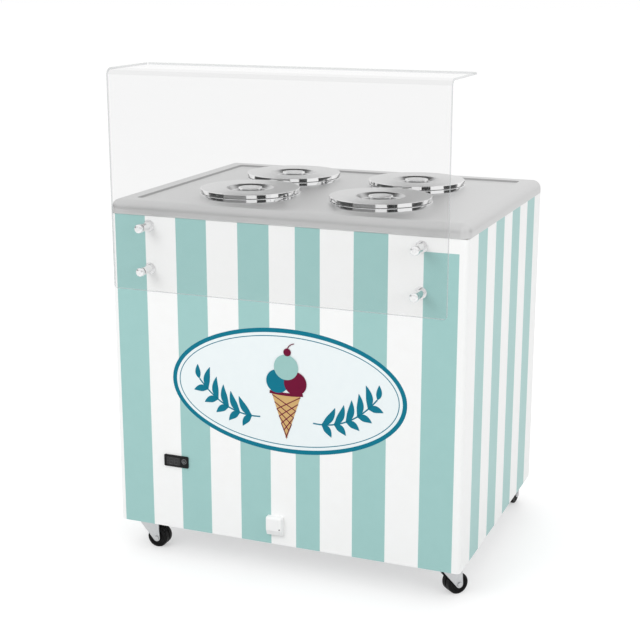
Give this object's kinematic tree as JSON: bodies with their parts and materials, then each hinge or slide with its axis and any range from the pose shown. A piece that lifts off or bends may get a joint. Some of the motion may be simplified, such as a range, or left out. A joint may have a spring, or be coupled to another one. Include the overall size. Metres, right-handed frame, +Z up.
{
  "type": "gelato display cabinet",
  "caption": "Mobile gelato cabinet with lidded round wells in a stainless worktop, striped body, bent clear guard on stand-offs and swivel casters.",
  "frame": {"origin": "on the floor, under the middle of the whole cabinet's box, guard caps to worktop's rear edge", "axes": "+X along the front to the customer's right, +Y from the customer's side to the operator's, +Z up"},
  "size_m": [0.844, 0.709, 1.145],
  "materials": {
    "white_panel": "striped vinyl on white coated sheet",
    "satin_steel": "satin stainless",
    "polished_steel": "polished stainless",
    "seal_rubber": "matt",
    "clear_sheet": "clear acrylic sheet",
    "black_plastic": "fine moulded texture",
    "smoked_window": "gloss",
    "grey_key": "satin",
    "white_plastic": "satin",
    "galvanised": "zinc plated",
    "wheel_black": "moulded tread",
    "foam": "rigid foam",
    "copper": "drawn tube",
    "black_steel": "black enamel",
    "fin_aluminium": "mill finish",
    "grey_plastic": "moulded"
  },
  "bodies": {
    "cabinet": {"base_tray": "galvanised", "bath_tank": "satin_steel", "caster_plates": "black_steel", "compressor": "black_steel", "compressor_feet": "seal_rubber", "condenser": "fin_aluminium", "cord_bush": "black_plastic", "corner_posts": "white_panel", "drain_hood": "white_plastic", "drain_pipe": "white_plastic", "evaporator_coil": "copper", "fan_motor": "black_steel", "fan_shroud": "galvanised", "foam_body": "foam", "front_panel": "white_panel", "guard_caps": "polished_steel", "guard_sheet": "clear_sheet", "guard_standoffs": "polished_steel", "left_panel": "white_panel", "pipework": "copper", "rear_panel": "white_panel", "right_panel": "white_panel", "terminal_box": "black_plastic", "thermostat_case": "black_plastic", "thermostat_window": "smoked_window", "well_front_left": "polished_steel", "well_front_right": "polished_steel", "well_rear_left": "polished_steel", "well_rear_right": "polished_steel", "worktop": "satin_steel"},
    "tub_front_left": {"tub_front_left": "satin_steel"},
    "lid_front_left": {"lid_front_left": "polished_steel", "lid_seal_front_left": "seal_rubber", "lid_knob_front_left": "polished_steel"},
    "caster_front_left": {"caster_fork_front_left": "galvanised", "caster_axle_front_left": "galvanised"},
    "wheel_front_left": {"caster_wheel_front_left": "wheel_black"},
    "tub_front_right": {"tub_front_right": "satin_steel"},
    "lid_front_right": {"lid_front_right": "polished_steel", "lid_seal_front_right": "seal_rubber", "lid_knob_front_right": "polished_steel"},
    "caster_front_right": {"caster_fork_front_right": "galvanised", "caster_axle_front_right": "galvanised"},
    "wheel_front_right": {"caster_wheel_front_right": "wheel_black"},
    "tub_rear_left": {"tub_rear_left": "satin_steel"},
    "lid_rear_left": {"lid_rear_left": "polished_steel", "lid_seal_rear_left": "seal_rubber", "lid_knob_rear_left": "polished_steel"},
    "caster_rear_left": {"caster_fork_rear_left": "galvanised", "caster_axle_rear_left": "galvanised"},
    "wheel_rear_left": {"caster_wheel_rear_left": "wheel_black"},
    "tub_rear_right": {"tub_rear_right": "satin_steel"},
    "lid_rear_right": {"lid_rear_right": "polished_steel", "lid_seal_rear_right": "seal_rubber", "lid_knob_rear_right": "polished_steel"},
    "caster_rear_right": {"caster_fork_rear_right": "galvanised", "caster_axle_rear_right": "galvanised"},
    "wheel_rear_right": {"caster_wheel_rear_right": "wheel_black"},
    "fan": {"fan_blade": "grey_plastic"},
    "key": {"thermostat_key": "grey_key"}
  },
  "joints": [
    {"name": "tub_lift_front_left", "type": "slide", "parent": "cabinet", "child": "tub_front_left", "axis": [0, 0, 1], "range_m": [0, 0.15]},
    {"name": "lid_lift_front_left", "type": "slide", "parent": "tub_front_left", "child": "lid_front_left", "axis": [0, 0, 1], "range_m": [0, 0.11]},
    {"name": "swivel_front_left", "type": "hinge", "parent": "cabinet", "child": "caster_front_left", "pos_m": [-0.372, -0.2545, 0.064], "axis": [0, 0, 1], "continuous": true},
    {"name": "roll_front_left", "type": "hinge", "parent": "caster_front_left", "child": "wheel_front_left", "pos_m": [-0.34402, -0.25352, 0.025], "axis": [-0.0349, 0.9994, 0], "continuous": true},
    {"name": "tub_lift_front_right", "type": "slide", "parent": "cabinet", "child": "tub_front_right", "axis": [0, 0, 1], "range_m": [0, 0.15]},
    {"name": "lid_lift_front_right", "type": "slide", "parent": "tub_front_right", "child": "lid_front_right", "axis": [0, 0, 1], "range_m": [0, 0.11]},
    {"name": "swivel_front_right", "type": "hinge", "parent": "cabinet", "child": "caster_front_right", "pos_m": [0.372, -0.2545, 0.064], "axis": [0, 0, 1], "continuous": true},
    {"name": "roll_front_right", "type": "hinge", "parent": "caster_front_right", "child": "wheel_front_right", "pos_m": [0.39074, -0.23369, 0.025], "axis": [-0.7431, 0.6691, 0], "continuous": true},
    {"name": "tub_lift_rear_left", "type": "slide", "parent": "cabinet", "child": "tub_rear_left", "axis": [0, 0, 1], "range_m": [0, 0.28]},
    {"name": "lid_lift_rear_left", "type": "slide", "parent": "tub_rear_left", "child": "lid_rear_left", "axis": [0, 0, 1], "range_m": [0, 0.2]},
    {"name": "swivel_rear_left", "type": "hinge", "parent": "cabinet", "child": "caster_rear_left", "pos_m": [-0.372, 0.2995, 0.064], "axis": [0, 0, 1], "continuous": true},
    {"name": "roll_rear_left", "type": "hinge", "parent": "caster_rear_left", "child": "wheel_rear_left", "pos_m": [-0.34642, 0.31089, 0.025], "axis": [-0.4067, 0.9135, 0], "continuous": true},
    {"name": "tub_lift_rear_right", "type": "slide", "parent": "cabinet", "child": "tub_rear_right", "axis": [0, 0, 1], "range_m": [0, 0.28]},
    {"name": "lid_lift_rear_right", "type": "slide", "parent": "tub_rear_right", "child": "lid_rear_right", "axis": [0, 0, 1], "range_m": [0, 0.2]},
    {"name": "swivel_rear_right", "type": "hinge", "parent": "cabinet", "child": "caster_rear_right", "pos_m": [0.372, 0.2995, 0.064], "axis": [0, 0, 1], "continuous": true},
    {"name": "roll_rear_right", "type": "hinge", "parent": "caster_rear_right", "child": "wheel_rear_right", "pos_m": [0.37493, 0.32735, 0.025], "axis": [-0.9945, 0.1045, 0], "continuous": true},
    {"name": "fan_spin", "type": "hinge", "parent": "cabinet", "child": "fan", "pos_m": [-0.11, 0.2605, 0.194], "axis": [0, 1, 0], "continuous": true},
    {"name": "key_press", "type": "slide", "parent": "cabinet", "child": "key", "axis": [0, 1, 0], "range_m": [0, 0.0008], "stiffness_N_per_m": 400}
  ]
}
